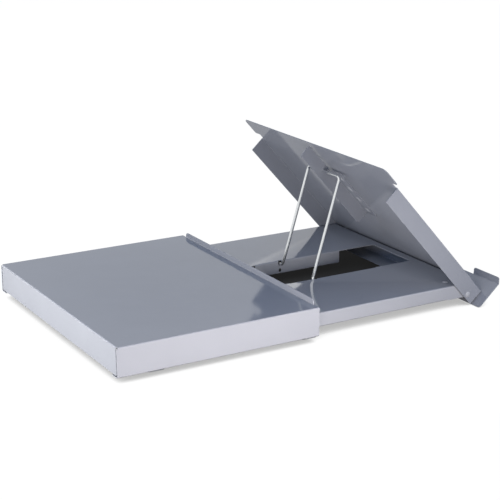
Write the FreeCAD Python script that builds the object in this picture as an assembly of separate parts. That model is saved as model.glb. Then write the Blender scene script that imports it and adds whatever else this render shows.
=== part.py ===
"""Document holder with a pull-out tray: a folded steel platform, a tray on runners and a propped panel.

The tray is drawn out and the panel stands on its wire prop. The origin lies on the desk, in the middle of the
footprint. X runs across the width, Y from the paper ledge back to the platform's rear wall, Z up. Millimetres.
"""
import FreeCAD, Part
import math
import os

os.makedirs("parts", exist_ok=True)
Vec = FreeCAD.Vector
TINY = 1e-6                     # two points closer than this are one

# ---- sheet metal ----
SHEET = 1.2                     # thickness of every folded steel piece
BEND = 1.0                      # inside radius of every fold
EDGE_FOLD = BEND + SHEET        # what a fold takes from a flat edge

# ---- platform (housing) ----
HOUSING_WIDTH = 428.0
HOUSING_DEPTH = 328.0
HOUSING_HEIGHT = 45.0           # folded sheet alone, without the feet
HOUSING_FLANGE = 16.0           # in-turned strip along the foot of each side
REAR_WALL_RISE = 3.0            # the rear wall stops this far above the foot of the sides
CORNER_GAP = 2.4                # open seam between an end wall and each side
LIP_HEIGHT = 8.5                # stop lip folded up along the front edge
LIP_INSET = 15.0                # from the platform's side to the lip's end
LIP_CORNER = 6.0                # radius of the lip's upper corners

# ---- feet and base straps ----
FOOT_HEIGHT = 8.3
FOOT_SOLE_RADIUS = 9.0
FOOT_TOP_RADIUS = 10.5
FOOT_INSET = 45.0               # from the platform's side to a foot's centre
FOOT_EDGE = 0.8                 # rounding of the sole's rim
STRAP_WIDTH = 25.0
STRAP_FRONT_Y = 15.5            # front strap's centre, behind the platform's front edge
STRAP_REAR_SETBACK = 62.0       # rear strap's centre, in front of the platform's rear
STRAP_END_GAP = 2.0             # strap end to the platform's side
STRAP_CORNER = 3.0
STRAP_RIVET_PITCH = 13.0        # two rivets at each end of a strap

# ---- runners, sliders and glides ----
RUNNER_HEIGHT = 15.0
RUNNER_REACH = 14.0             # how far the channel stands in from the platform's side wall
RUNNER_LIFT = 9.0               # channel's lower face above the foot of the sides
RUNNER_START = 0.5              # behind the platform's front edge
RUNNER_END_GAP = 7.5            # runner's rear end to the platform's rear
SLIDE_GAP = 0.3                 # clearance between sliding faces
SLIDER_TAIL_GAP = 1.0           # slider's rear face to the tray's rear edge
SLIDER_SCREW_RADIUS = 1.5
SLIDER_SCREW_HEAD = 3.0
SLIDER_SCREW_REACH = 9.0
SCREW_HEAD_HEIGHT = 1.5
SCREW_SLOT_WIDTH = 0.8
SCREW_SLOT_DEPTH = 0.7
GLIDE_LENGTH = 12.0
GLIDE_WIDTH = 14.0
GLIDE_SIDE_GAP = 1.0            # glide's outer face inside the line of the tray's side
GLIDE_EDGE = 1.0                # rounding of the glide's ends
GLIDE_SETBACK = 1.0             # behind the strap's front edge

# ---- tray (drawer) ----
TRAY_INSET = 21.0               # from the platform's side to the tray's side
TRAY_HEIGHT = 22.0
TRAY_LIFT = 5.5                 # tray's lower face above the foot of the platform's sides
TRAY_FLANGE = 12.0
TRAY_FLANGE_SETBACK = 46.0      # the in-turned strip starts this far behind the tray's front
TRAY_TAIL = 14.5                # length of tray still inside the platform
TRAY_FRONT_FLANGE = 36.0        # in-turned strip along the foot of the front wall
TRAY_FRONT_FLANGE_INSET = 12.0  # from the front wall's end to the end of its in-turned strip
CUTOUT_WIDTH = 106.0
CUTOUT_REAR = 6.0               # opening's rear end, in front of the platform
CUTOUT_STRIP = 16.4             # strip left between the opening and the tray's front
CUTOUT_CORNER = 4.0

# ---- notched rails, folded down from both edges of the tray's opening ----
RAIL_REAR = 49.0                # rail's rear end, in front of the platform
RAIL_LENGTH = 166.0
RAIL_FLANGE = 5.0               # out-turned strip along the foot of each rail
NOTCH_WIDTH = 6.5
NOTCH_DEPTH = 8.0               # below the tray's top face
NOTCH_REACH = 4.0               # from the rail's wall into the tray's top
NOTCH_FRONT = 97.0              # notch's middle, in front of the platform
RAIL_HOLE_WIDTH = 5.0           # round-ended hole through the rail, under the notch
RAIL_HOLE_HEIGHT = 6.5
RAIL_HOLE_DROP = 5.0            # metal left between the notch and the hole

# ---- panel pivot ----
PIVOT_FRONT = 292.4             # in front of the platform
PIVOT_LIFT = 9.7                # above the foot of the platform's sides
PIVOT_TO_TRAY_FRONT = 9.0
PIN_RADIUS = 2.4
PIN_FIT = 0.05                  # radial clearance of the pin in the panel's flange
HEAD_RADIUS = 4.75              # rivet heads
HEAD_HEIGHT = 1.6
HEAD_FIT = 0.1                  # under the pin's head
TAIL_RADIUS = 3.4
TAIL_HEIGHT = 1.0
WASHER_RADIUS = 6.0
WASHER_FIT = 0.2                # between the washer and the panel's flange
PIVOT_BRACKET_LENGTH = 42.0
PIVOT_BRACKET_REACH = 28.0
PIVOT_BRACKET_SETBACK = 2.4     # behind the tray's front

# ---- document panel ----
TILT = 48.0                     # degrees above flat, as the prop holds it
PANEL_CLEAR = 3.0               # panel's flange outside the tray's side, at each end of the pivot
PANEL_LENGTH = 305.0            # ledge to top edge
PANEL_FLANGE = 28.5             # depth of the side flanges, from the panel's face
PANEL_FLANGE_START = 2.5        # from the ledge
PANEL_FLANGE_SETBACK = 46.0     # flange's end to the panel's top edge
PANEL_TO_PIVOT = 21.5           # panel's face above the pivot, square to the panel
LEDGE_TO_PIVOT = 19.0           # ledge's back face in front of the pivot, along the panel
EAR_REACH = 9.5                 # each ear beyond the flange
EAR_LENGTH = 35.0
EAR_CORNER = 9.0
EAR_FOOT_CORNER = 3.0
EAR_NOTCH = 5.0                 # relief cut inside the flange's line, between flange and ear
FRONT_FLANGE = 15.0             # folded down behind the ledge

# ---- ledge ----
LEDGE_OVERHANG = 19.0           # each end beyond the panel's flange
LEDGE_BELOW = 27.0              # from the panel's face down
LEDGE_ABOVE = 23.0
LEDGE_CORNER = 5.0
TAB_WIDTH = 62.0
TAB_LENGTH = 11.0
TAB_BEND = 45.0                 # degrees, back over the panel
TAB_CORNER = 4.0
LEDGE_RIVETS = 5
LEDGE_RIVET_RADIUS = 1.6
LEDGE_RIVET_HEAD = 3.2
LEDGE_RIVET_HEIGHT = 1.1
LEDGE_RIVET_EDGE = 40.0         # panel's side to the first rivet
LEDGE_RIVET_BELOW = 8.5         # from the panel's face

# ---- prop and its bracket ----
WIRE_RADIUS = 2.5
WIRE_BEND = 6.0                 # centre-line radius of the wire's corners
WIRE_FIT = 0.08                 # radial clearance in the bracket's hole
PROP_WIDTH = 90.0               # between the centre lines of the legs
PROP_ALONG = 248.0              # cross wire, from the ledge along the panel
PROP_BELOW = 12.5               # cross wire, from the panel's face
FOOT_WALL_GAP = 0.4             # foot's end to the rail's wall
NOTCH_SEAT_GAP = 0.5            # wire above the notch's floor
BRACKET_BELOW_PROP = 120.0      # web's lower end, along the panel from the cross wire
BRACKET_TOP_GAP = 5.0           # web's upper end to the panel's top edge
BRACKET_FLANGE_GAP = 12.0       # flange's upper end, below the cross wire
BRACKET_FLANGE = 30.0
BRACKET_DEPTH = 25.0            # web's lower edge from the panel's face
BRACKET_OFFSET = 3.6            # web's outer face from the middle of the panel
BRACKET_CORNER = 5.0

# ---- rivets through two sheets ----
RIVET_RADIUS = 2.0
FIXING_FIT = 0.05               # radial room round a rivet or screw in its own hole
TWO_SHEETS = 2 * SHEET
TRAY_RIVET_INSET = 22.0         # from the tray's side
TRAY_RIVET_BACK = 26.4          # behind the pivot

# ---- places that follow from the sizes above, with the platform's front edge at Y = 0 ----
HOUSING_FOOT_Z = FOOT_HEIGHT + SHEET
HOUSING_TOP_Z = HOUSING_FOOT_Z + HOUSING_HEIGHT
SIDE_INNER_X = HOUSING_WIDTH / 2 - SHEET
STRAP_REAR_Y = HOUSING_DEPTH - STRAP_REAR_SETBACK
RUNNER_END_Y = HOUSING_DEPTH - RUNNER_END_GAP
TRAY_WIDTH = HOUSING_WIDTH - 2 * TRAY_INSET
PANEL_WIDTH = TRAY_WIDTH + 2 * PANEL_CLEAR
LEDGE_WIDTH = PANEL_WIDTH + 2 * LEDGE_OVERHANG
TRAY_FOOT_Z = HOUSING_FOOT_Z + TRAY_LIFT
TRAY_TOP_Z = TRAY_FOOT_Z + TRAY_HEIGHT
TRAY_SIDE_X = TRAY_WIDTH / 2
TRAY_INNER_X = TRAY_SIDE_X - SHEET
PIVOT_Y = -PIVOT_FRONT
PIVOT_Z = HOUSING_FOOT_Z + PIVOT_LIFT
TRAY_FRONT_Y = PIVOT_Y - PIVOT_TO_TRAY_FRONT
RUNNER_FOOT_Z = HOUSING_FOOT_Z + RUNNER_LIFT
RUNNER_TOP_Z = RUNNER_FOOT_Z + RUNNER_HEIGHT
SLIDER_MID_Y = (RUNNER_START + SHEET + SLIDE_GAP + TRAY_TAIL - SLIDER_TAIL_GAP) / 2
SLIDER_MID_Z = (RUNNER_FOOT_Z + RUNNER_TOP_Z) / 2
CUTOUT_SPAN = (TRAY_FRONT_Y + CUTOUT_STRIP, -CUTOUT_REAR)
RAIL_SPAN = (-RAIL_REAR - RAIL_LENGTH, -RAIL_REAR)
RAIL_WALL_X = CUTOUT_WIDTH / 2
NOTCH_FLOOR_Z = TRAY_TOP_Z - NOTCH_DEPTH
RAIL_HOLE_TOP_Z = NOTCH_FLOOR_Z - RAIL_HOLE_DROP
PANEL_FLANGE_END = PANEL_LENGTH - PANEL_FLANGE_SETBACK
BRACKET_START = PROP_ALONG - BRACKET_BELOW_PROP
BRACKET_FLANGE_END = PROP_ALONG - BRACKET_FLANGE_GAP
BRACKET_END = PANEL_LENGTH - BRACKET_TOP_GAP
STRAP_RIVET_X = HOUSING_WIDTH / 2 - HOUSING_FLANGE / 2
TRAY_RIVET_X = TRAY_SIDE_X - TRAY_RIVET_INSET
TRAY_RIVET_Y = PIVOT_Y + TRAY_RIVET_BACK


def tilted(along, above):
    """Y and Z of a point given by its distance from the ledge along the panel, and above the panel's face."""
    angle = math.radians(TILT)
    forward = along - LEDGE_TO_PIVOT
    upward = above + PANEL_TO_PIVOT
    y = PIVOT_Y + forward * math.cos(angle) - upward * math.sin(angle)
    z = PIVOT_Z + forward * math.sin(angle) + upward * math.cos(angle)
    return y, z


TAB_REACH = TAB_LENGTH * math.sin(math.radians(TAB_BEND))
TAB_RISE = TAB_LENGTH * math.cos(math.radians(TAB_BEND))
TAB_TIP_Y = tilted(TAB_REACH - SHEET, LEDGE_ABOVE + TAB_RISE)[0]
ORIGIN_SHIFT_Y = -(HOUSING_DEPTH + TAB_TIP_Y) / 2

CROSS_WIRE_Y, CROSS_WIRE_Z = tilted(PROP_ALONG, -PROP_BELOW)
PROP_FOOT_Y = -NOTCH_FRONT
PROP_FOOT_Z = NOTCH_FLOOR_Z + NOTCH_SEAT_GAP + WIRE_RADIUS
PROP_LENGTH = math.hypot(PROP_FOOT_Y - CROSS_WIRE_Y, PROP_FOOT_Z - CROSS_WIRE_Z)
PROP_LEAN = math.degrees(math.asin((PROP_FOOT_Y - CROSS_WIRE_Y) / PROP_LENGTH))


# ---- folded sheet ----
def unit(start, end):
    """Direction from one 2-D point to another."""
    length = math.hypot(end[0] - start[0], end[1] - start[1])
    return (end[0] - start[0]) / length, (end[1] - start[1]) / length


def shifted(points, shift):
    """The 2-D path moved to its left, with mitred corners."""
    moved = []
    for index, point in enumerate(points):
        normals = []
        if index > 0:
            ahead = unit(points[index - 1], point)
            normals.append((-ahead[1], ahead[0]))
        if index < len(points) - 1:
            ahead = unit(point, points[index + 1])
            normals.append((-ahead[1], ahead[0]))
        total = (sum(n[0] for n in normals), sum(n[1] for n in normals))
        scale = shift / (total[0] * normals[0][0] + total[1] * normals[0][1])
        moved.append((point[0] + total[0] * scale, point[1] + total[1] * scale))
    return moved


def straight(start, end, place):
    """The edge between two 2-D points, or nothing where they meet."""
    if math.dist(start, end) < TINY:
        return []
    return [Part.makeLine(place(start), place(end))]


def rounded_edges(points, radius, place):
    """Edges of a 2-D path with every corner rounded."""
    edges = []
    start = points[0]
    for index in range(1, len(points) - 1):
        corner = points[index]
        before = unit(points[index - 1], corner)
        after = unit(corner, points[index + 1])
        turn = math.acos(before[0] * after[0] + before[1] * after[1])
        cut = radius * math.tan(turn / 2)
        first = (corner[0] - before[0] * cut, corner[1] - before[1] * cut)
        last = (corner[0] + after[0] * cut, corner[1] + after[1] * cut)
        inward = unit((0, 0), (after[0] - before[0], after[1] - before[1]))
        offset = radius / math.cos(turn / 2) - radius
        middle = (corner[0] + inward[0] * offset, corner[1] + inward[1] * offset)
        edges += straight(start, first, place)
        edges.append(Part.Arc(place(first), place(middle), place(last)).toShape())
        start = last
    return edges + straight(start, points[-1], place)


def sheet_section(outer_path, place):
    """Face of a folded strip: the path is its outside, turns only to the left and has the metal on its left."""
    inner_path = shifted(outer_path, SHEET)
    outside = rounded_edges(outer_path, BEND + SHEET, place)
    inside = rounded_edges(inner_path, BEND, place)
    ends = [
        Part.makeLine(place(outer_path[0]), place(inner_path[0])),
        Part.makeLine(place(outer_path[-1]), place(inner_path[-1])),
    ]
    return Part.Face(Part.Wire(Part.__sortEdges__(outside + inside + ends)))


def across(point):
    """A section point (x, z) on the plane Y = 0."""
    return Vec(point[0], 0, point[1])


def lengthwise(point):
    """A section point (y, z) on the plane X = 0."""
    return Vec(0, point[0], point[1])


def folded_along_y(outer_path, y_span):
    """Folded strip whose section (x, z) runs along Y."""
    strip = sheet_section(outer_path, across).extrude(Vec(0, y_span[1] - y_span[0], 0))
    strip.translate(Vec(0, y_span[0], 0))
    return strip


def folded_along_x(outer_path, x_span):
    """Folded strip whose section (y, z) runs along X."""
    strip = sheet_section(outer_path, lengthwise).extrude(Vec(x_span[1] - x_span[0], 0, 0))
    strip.translate(Vec(x_span[0], 0, 0))
    return strip


def trough_path(width, top, foot, flange):
    """Outside of a sheet folded down at both sides, with in-turned feet if there is a flange."""
    half = width / 2
    path = [(half, foot), (half, top), (-half, top), (-half, foot)]
    if flange:
        path = [(half - flange, foot)] + path + [(flange - half, foot)]
    return path


# ---- plain shapes ----
def box(x_span, y_span, z_span):
    """Block between three pairs of limits."""
    size = (x_span[1] - x_span[0], y_span[1] - y_span[0], z_span[1] - z_span[0])
    return Part.makeBox(*size, Vec(x_span[0], y_span[0], z_span[0]))


def edges_along(shape, direction, inside):
    """Straight edges that run in a direction and whose middles lie within three pairs of limits."""
    found = []
    for edge in shape.Edges:
        ends = [vertex.Point for vertex in edge.Vertexes]
        if len(ends) < 2:
            continue
        run = ends[1] - ends[0]
        middle = (ends[0] + ends[1]) * 0.5
        parallel = run.cross(direction).Length < TINY
        within = all(low <= value <= high for value, (low, high) in zip(middle, inside))
        if parallel and within:
            found.append(edge)
    return found


def mirrored(shape):
    """Copy on the other side of the middle plane."""
    return shape.mirror(Vec(0, 0, 0), Vec(1, 0, 0))


def drilled_x(radius, y, z, x_span):
    """Round bar along X, for a pin or its hole."""
    return Part.makeCylinder(radius, x_span[1] - x_span[0], Vec(x_span[0], y, z), Vec(1, 0, 0))


def drilled_y(radius, x, z, y_span):
    """Round bar along Y."""
    return Part.makeCylinder(radius, y_span[1] - y_span[0], Vec(x, y_span[0], z), Vec(0, 1, 0))


def drilled_z(radius, x, y, z_span):
    """Round bar along Z."""
    return Part.makeCylinder(radius, z_span[1] - z_span[0], Vec(x, y, z_span[0]))


def domed_head(head_radius, head_height):
    """Low dome below Z = 0 with its flat face at Z = 0."""
    ball = (head_radius ** 2 + head_height ** 2) / (2 * head_height)
    dome = Part.makeSphere(ball, Vec(0, 0, ball - head_height))
    return dome.common(Part.makeCylinder(head_radius, head_height, Vec(0, 0, -head_height)))


def rivet(radius, head_radius, head_height, grip, tail_radius):
    """Rivet along +Z: domed head below 0, shank up to the grip, flat set tail above it."""
    shank = Part.makeCylinder(radius, grip)
    tail = Part.makeCylinder(tail_radius, TAIL_HEIGHT, Vec(0, 0, grip))
    return domed_head(head_radius, head_height).fuse([shank, tail]).removeSplitter()


def screw(radius, head_radius, reach):
    """Slotted screw along +Z with its head below 0."""
    shank = Part.makeCylinder(radius, reach)
    slot = box(
        (-head_radius, head_radius),
        (-SCREW_SLOT_WIDTH / 2, SCREW_SLOT_WIDTH / 2),
        (-SCREW_HEAD_HEIGHT, SCREW_SLOT_DEPTH - SCREW_HEAD_HEIGHT),
    )
    return domed_head(head_radius, SCREW_HEAD_HEIGHT).cut(slot).fuse(shank).removeSplitter()


def turned_about_x(shape, degrees):
    shape.rotate(Vec(0, 0, 0), Vec(1, 0, 0), degrees)
    return shape


def turned_about_y(shape, degrees):
    shape.rotate(Vec(0, 0, 0), Vec(0, 1, 0), degrees)
    return shape


def moved(shape, x, y, z):
    shape.translate(Vec(x, y, z))
    return shape


# ---- platform ----
def strap_rivet_places():
    """Centres (x, y) of the rivets that hold the straps under the platform's in-turned strips."""
    places = []
    for strap_y in (STRAP_FRONT_Y, STRAP_REAR_Y):
        for side in (-1, 1):
            for step in (-1, 1):
                places.append((side * STRAP_RIVET_X, strap_y + step * STRAP_RIVET_PITCH / 2))
    return places


def strap_rivet_holes(z_span):
    return [drilled_z(RIVET_RADIUS + FIXING_FIT, x, y, z_span) for x, y in strap_rivet_places()]


def stop_lip():
    """Lip folded up along the platform's front edge, with rounded upper corners."""
    half = HOUSING_WIDTH / 2 - LIP_INSET
    path = [(0, HOUSING_TOP_Z + LIP_HEIGHT), (0, HOUSING_TOP_Z - SHEET), (EDGE_FOLD, HOUSING_TOP_Z - SHEET)]
    lip = folded_along_x(path, (-half, half))
    upper = ((-half, half), (0, SHEET), (HOUSING_TOP_Z + LIP_HEIGHT - SHEET, HOUSING_TOP_Z + LIP_HEIGHT))
    return lip.makeFillet(LIP_CORNER, edges_along(lip, Vec(0, 1, 0), upper))


def housing_cover():
    half = HOUSING_WIDTH / 2
    lip_half = half - LIP_INSET
    fold_band = (HOUSING_TOP_Z - EDGE_FOLD, HOUSING_TOP_Z)
    path = trough_path(HOUSING_WIDTH, HOUSING_TOP_Z, HOUSING_FOOT_Z, HOUSING_FLANGE)
    body = folded_along_y(path, (0, HOUSING_DEPTH))
    body = body.cut(box((-half, half), (HOUSING_DEPTH - EDGE_FOLD, HOUSING_DEPTH), fold_band))
    body = body.cut(box((-lip_half, lip_half), (0, EDGE_FOLD), fold_band))
    rear_half = SIDE_INNER_X - CORNER_GAP
    rear_path = [
        (HOUSING_DEPTH, HOUSING_FOOT_Z + REAR_WALL_RISE),
        (HOUSING_DEPTH, HOUSING_TOP_Z),
        (HOUSING_DEPTH - EDGE_FOLD, HOUSING_TOP_Z),
    ]
    rear_wall = folded_along_x(rear_path, (-rear_half, rear_half))
    body = body.fuse([rear_wall, stop_lip()])
    return body.cut(strap_rivet_holes((HOUSING_FOOT_Z, HOUSING_FOOT_Z + SHEET))).removeSplitter()


def base_strap(strap_y):
    half = HOUSING_WIDTH / 2 - STRAP_END_GAP
    z_span = (FOOT_HEIGHT, HOUSING_FOOT_Z)
    strap = box((-half, half), (strap_y - STRAP_WIDTH / 2, strap_y + STRAP_WIDTH / 2), z_span)
    everywhere = ((-half, half), (strap_y - STRAP_WIDTH, strap_y + STRAP_WIDTH), z_span)
    strap = strap.makeFillet(STRAP_CORNER, edges_along(strap, Vec(0, 0, 1), everywhere))
    return strap.cut(strap_rivet_holes(z_span))


def strap_rivets():
    heads = []
    for x, y in strap_rivet_places():
        heads.append(moved(rivet(RIVET_RADIUS, HEAD_RADIUS, HEAD_HEIGHT, TWO_SHEETS, TAIL_RADIUS), x, y, FOOT_HEIGHT))
    return Part.makeCompound(heads)


def rubber_foot(side, strap_y):
    foot = Part.makeCone(FOOT_SOLE_RADIUS, FOOT_TOP_RADIUS, FOOT_HEIGHT)
    rim = [edge for edge in foot.Edges if edge.BoundBox.ZMax < FOOT_EDGE]
    foot = foot.makeFillet(FOOT_EDGE, rim)
    return moved(foot, side * (HOUSING_WIDTH / 2 - FOOT_INSET), strap_y, 0)


def runner():
    """Channel on the platform's side wall, with its front end folded shut as the tray's stop."""
    inner = SIDE_INNER_X - RUNNER_REACH
    path = [
        (inner, RUNNER_FOOT_Z),
        (SIDE_INNER_X, RUNNER_FOOT_Z),
        (SIDE_INNER_X, RUNNER_TOP_Z),
        (inner, RUNNER_TOP_Z),
    ]
    channel = folded_along_y(path, (RUNNER_START, RUNNER_END_Y))
    stop = box(
        (inner, SIDE_INNER_X - SHEET),
        (RUNNER_START, RUNNER_START + SHEET),
        (RUNNER_FOOT_Z + SHEET, RUNNER_TOP_Z - SHEET),
    )
    return channel.fuse(stop).removeSplitter()


def glide():
    """Nylon pad on the front strap, under the tray's in-turned strip."""
    outer = TRAY_SIDE_X - GLIDE_SIDE_GAP
    start = STRAP_FRONT_Y - STRAP_WIDTH / 2 + GLIDE_SETBACK
    z_span = (HOUSING_FOOT_Z, TRAY_FOOT_Z - SLIDE_GAP)
    pad = box((outer - GLIDE_WIDTH, outer), (start, start + GLIDE_LENGTH), z_span)
    top = ((0, outer), (start, start + GLIDE_LENGTH), (z_span[1] - SHEET, z_span[1]))
    return pad.makeFillet(GLIDE_EDGE, edges_along(pad, Vec(1, 0, 0), top))


# ---- tray ----
def upright_slot(width, z_span, reach):
    """Round-ended slot across both rails, at the prop's feet."""
    ends = (z_span[0] + width / 2, z_span[1] - width / 2)
    middle = box((-reach, reach), (PROP_FOOT_Y - width / 2, PROP_FOOT_Y + width / 2), ends)
    return [middle] + [drilled_x(width / 2, PROP_FOOT_Y, z, (-reach, reach)) for z in ends]


def notch_cutters():
    """Notches for the prop's feet, open at the top, and the holes under them."""
    open_above = upright_slot(NOTCH_WIDTH, (NOTCH_FLOOR_Z, TRAY_TOP_Z + NOTCH_WIDTH), RAIL_WALL_X + NOTCH_REACH)
    hole_span = (RAIL_HOLE_TOP_Z - RAIL_HOLE_HEIGHT, RAIL_HOLE_TOP_Z)
    return open_above + upright_slot(RAIL_HOLE_WIDTH, hole_span, RAIL_WALL_X + EDGE_FOLD)


def notch_rail():
    """Flap folded down from the opening's edge, with its foot turned out."""
    path = [
        (RAIL_WALL_X + EDGE_FOLD, TRAY_TOP_Z),
        (RAIL_WALL_X, TRAY_TOP_Z),
        (RAIL_WALL_X, TRAY_FOOT_Z),
        (RAIL_WALL_X + RAIL_FLANGE, TRAY_FOOT_Z),
    ]
    return folded_along_y(path, RAIL_SPAN)


def tray_front_wall():
    """Wall folded down at the tray's front, with its foot turned in."""
    half = TRAY_INNER_X - CORNER_GAP
    path = [
        (TRAY_FRONT_Y + EDGE_FOLD, TRAY_TOP_Z),
        (TRAY_FRONT_Y, TRAY_TOP_Z),
        (TRAY_FRONT_Y, TRAY_FOOT_Z),
        (TRAY_FRONT_Y + TRAY_FRONT_FLANGE, TRAY_FOOT_Z),
    ]
    wall = folded_along_x(path, (-half, half))
    trims = []
    for side in (-1, 1):
        x_span = sorted((side * half, side * (half - TRAY_FRONT_FLANGE_INSET)))
        y_span = (TRAY_FRONT_Y, TRAY_FRONT_Y + TRAY_FRONT_FLANGE)
        trims.append(box(x_span, y_span, (TRAY_FOOT_Z, TRAY_FOOT_Z + EDGE_FOLD)))
    return wall.cut(trims)


def drawer_tray():
    half = TRAY_WIDTH / 2
    fold_band = (TRAY_TOP_Z - EDGE_FOLD, TRAY_TOP_Z)
    flange_start = TRAY_FRONT_Y + TRAY_FLANGE_SETBACK
    body = folded_along_y(trough_path(TRAY_WIDTH, TRAY_TOP_Z, TRAY_FOOT_Z, TRAY_FLANGE), (flange_start, TRAY_TAIL))
    nose = folded_along_y(trough_path(TRAY_WIDTH, TRAY_TOP_Z, TRAY_FOOT_Z, 0), (TRAY_FRONT_Y, flange_start))
    nose = nose.cut(box((-half, half), (TRAY_FRONT_Y, TRAY_FRONT_Y + EDGE_FOLD), fold_band))
    opening = box((-RAIL_WALL_X, RAIL_WALL_X), CUTOUT_SPAN, fold_band)
    everywhere = ((-half, half), CUTOUT_SPAN, fold_band)
    opening = opening.makeFillet(CUTOUT_CORNER, edges_along(opening, Vec(0, 0, 1), everywhere))
    holes = [opening, drilled_x(PIN_RADIUS + FIXING_FIT, PIVOT_Y, PIVOT_Z, (-half, half))]
    holes.append(drilled_x(SLIDER_SCREW_RADIUS + FIXING_FIT, SLIDER_MID_Y, SLIDER_MID_Z, (-half, half)))
    for x in (-TRAY_RIVET_X, TRAY_RIVET_X):
        holes.append(drilled_z(RIVET_RADIUS + FIXING_FIT, x, TRAY_RIVET_Y, fold_band))
    sheet = body.fuse([nose, tray_front_wall()]).cut(holes)
    folds = RAIL_WALL_X + EDGE_FOLD
    sheet = sheet.cut(box((-folds, folds), RAIL_SPAN, fold_band))
    rail = notch_rail()
    return sheet.fuse([rail, mirrored(rail)]).cut(notch_cutters()).removeSplitter()


def slider():
    """Nylon block on the tray's side that runs in the channel."""
    outer = SIDE_INNER_X - SHEET - SLIDE_GAP
    y_span = (RUNNER_START + SHEET + SLIDE_GAP, TRAY_TAIL - SLIDER_TAIL_GAP)
    z_span = (RUNNER_FOOT_Z + SHEET + SLIDE_GAP, RUNNER_TOP_Z - SHEET - SLIDE_GAP)
    block = box((TRAY_SIDE_X, outer), y_span, z_span)
    far = ((outer - SLIDE_GAP, outer), y_span, z_span)
    block = block.makeFillet(BEND, edges_along(block, Vec(0, 1, 0), far))
    screw_end = TRAY_INNER_X + SLIDER_SCREW_REACH + SHEET
    bore = drilled_x(SLIDER_SCREW_RADIUS + FIXING_FIT, SLIDER_MID_Y, SLIDER_MID_Z, (0, screw_end))
    return block.cut(bore)


def slider_screws():
    one = turned_about_y(screw(SLIDER_SCREW_RADIUS, SLIDER_SCREW_HEAD, SLIDER_SCREW_REACH), 90)
    one = moved(one, TRAY_INNER_X, SLIDER_MID_Y, SLIDER_MID_Z)
    return Part.makeCompound([one, mirrored(one)])


def pivot_bracket():
    """Angle in the tray's front corner, behind the pivot."""
    top = TRAY_TOP_Z - SHEET
    start = TRAY_FRONT_Y + PIVOT_BRACKET_SETBACK
    path = [(TRAY_INNER_X, TRAY_FOOT_Z), (TRAY_INNER_X, top), (TRAY_INNER_X - PIVOT_BRACKET_REACH, top)]
    angle = folded_along_y(path, (start, start + PIVOT_BRACKET_LENGTH))
    pin_hole = drilled_x(PIN_RADIUS + FIXING_FIT, PIVOT_Y, PIVOT_Z, (0, TRAY_SIDE_X))
    rivet_hole = drilled_z(RIVET_RADIUS + FIXING_FIT, TRAY_RIVET_X, TRAY_RIVET_Y, (TRAY_FOOT_Z, TRAY_TOP_Z))
    return angle.cut([pin_hole, rivet_hole])


def tray_rivets():
    one = turned_about_x(rivet(RIVET_RADIUS, HEAD_RADIUS, HEAD_HEIGHT, TWO_SHEETS, TAIL_RADIUS), 180)
    one = moved(one, TRAY_RIVET_X, TRAY_RIVET_Y, TRAY_TOP_Z)
    return Part.makeCompound([one, mirrored(one)])


def pivot_pin():
    """Rivet from outside the panel's flange to the inside of the pivot bracket."""
    outer = PANEL_WIDTH / 2 + HEAD_FIT
    grip = outer - (TRAY_INNER_X - SHEET)
    pin = turned_about_y(rivet(PIN_RADIUS, HEAD_RADIUS, HEAD_HEIGHT, grip, TAIL_RADIUS), -90)
    return moved(pin, outer, PIVOT_Y, PIVOT_Z)


def pivot_washer():
    x_span = (TRAY_SIDE_X, PANEL_WIDTH / 2 - SHEET - WASHER_FIT)
    ring = drilled_x(WASHER_RADIUS, PIVOT_Y, PIVOT_Z, x_span)
    return ring.cut(drilled_x(PIN_RADIUS + FIXING_FIT, PIVOT_Y, PIVOT_Z, x_span))


# ---- panel, built flat with the ledge's back face at Y = 0 and the panel's face at Z = 0 ----
def on_panel(shape):
    """Stand a flat-built piece up on the pivot at the panel's tilt."""
    shape.translate(Vec(0, -LEDGE_TO_PIVOT, PANEL_TO_PIVOT))
    shape.rotate(Vec(0, 0, 0), Vec(1, 0, 0), TILT)
    shape.translate(Vec(0, PIVOT_Y, PIVOT_Z))
    return shape


def ledge_rivet_places():
    reach = PANEL_WIDTH / 2 - LEDGE_RIVET_EDGE
    return [-reach + index * 2 * reach / (LEDGE_RIVETS - 1) for index in range(LEDGE_RIVETS)]


def ledge_rivet_holes():
    radius = LEDGE_RIVET_RADIUS + FIXING_FIT
    return [drilled_y(radius, x, -LEDGE_RIVET_BELOW, (-SHEET, SHEET)) for x in ledge_rivet_places()]


def ears():
    """Top strip of the panel, wider than the flanges, with rounded corners."""
    half = PANEL_WIDTH / 2 + EAR_REACH
    start = PANEL_LENGTH - EAR_LENGTH
    strip = box((-half, half), (start, PANEL_LENGTH), (-SHEET, 0))
    upper = ((-half, half), (PANEL_LENGTH - SHEET, PANEL_LENGTH), (-SHEET, 0))
    lower = ((-half, half), (start, start + SHEET), (-SHEET, 0))
    strip = strip.makeFillet(EAR_CORNER, edges_along(strip, Vec(0, 0, 1), upper))
    return strip.makeFillet(EAR_FOOT_CORNER, edges_along(strip, Vec(0, 0, 1), lower))


def document_panel():
    half = PANEL_WIDTH / 2
    flat_half = half - EDGE_FOLD
    sides = folded_along_y(trough_path(PANEL_WIDTH, 0, -PANEL_FLANGE, 0), (PANEL_FLANGE_START, PANEL_FLANGE_END))
    face = box((-flat_half, flat_half), (EDGE_FOLD, PANEL_LENGTH - EAR_LENGTH), (-SHEET, 0))
    front = folded_along_x([(EDGE_FOLD, 0), (0, 0), (0, -FRONT_FLANGE)], (-flat_half, flat_half))
    plate = sides.fuse([face, front, ears()])
    reliefs = []
    for side in (-1, 1):
        x_span = sorted((side * half, side * (half - EAR_NOTCH)))
        reliefs.append(box(x_span, (PANEL_FLANGE_END, PANEL_LENGTH - EAR_LENGTH), (-SHEET, 0)))
    running_hole = drilled_x(PIN_RADIUS + PIN_FIT, LEDGE_TO_PIVOT, -PANEL_TO_PIVOT, (-half, half))
    return on_panel(plate.cut(reliefs + [running_hole] + ledge_rivet_holes()).removeSplitter())


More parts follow.
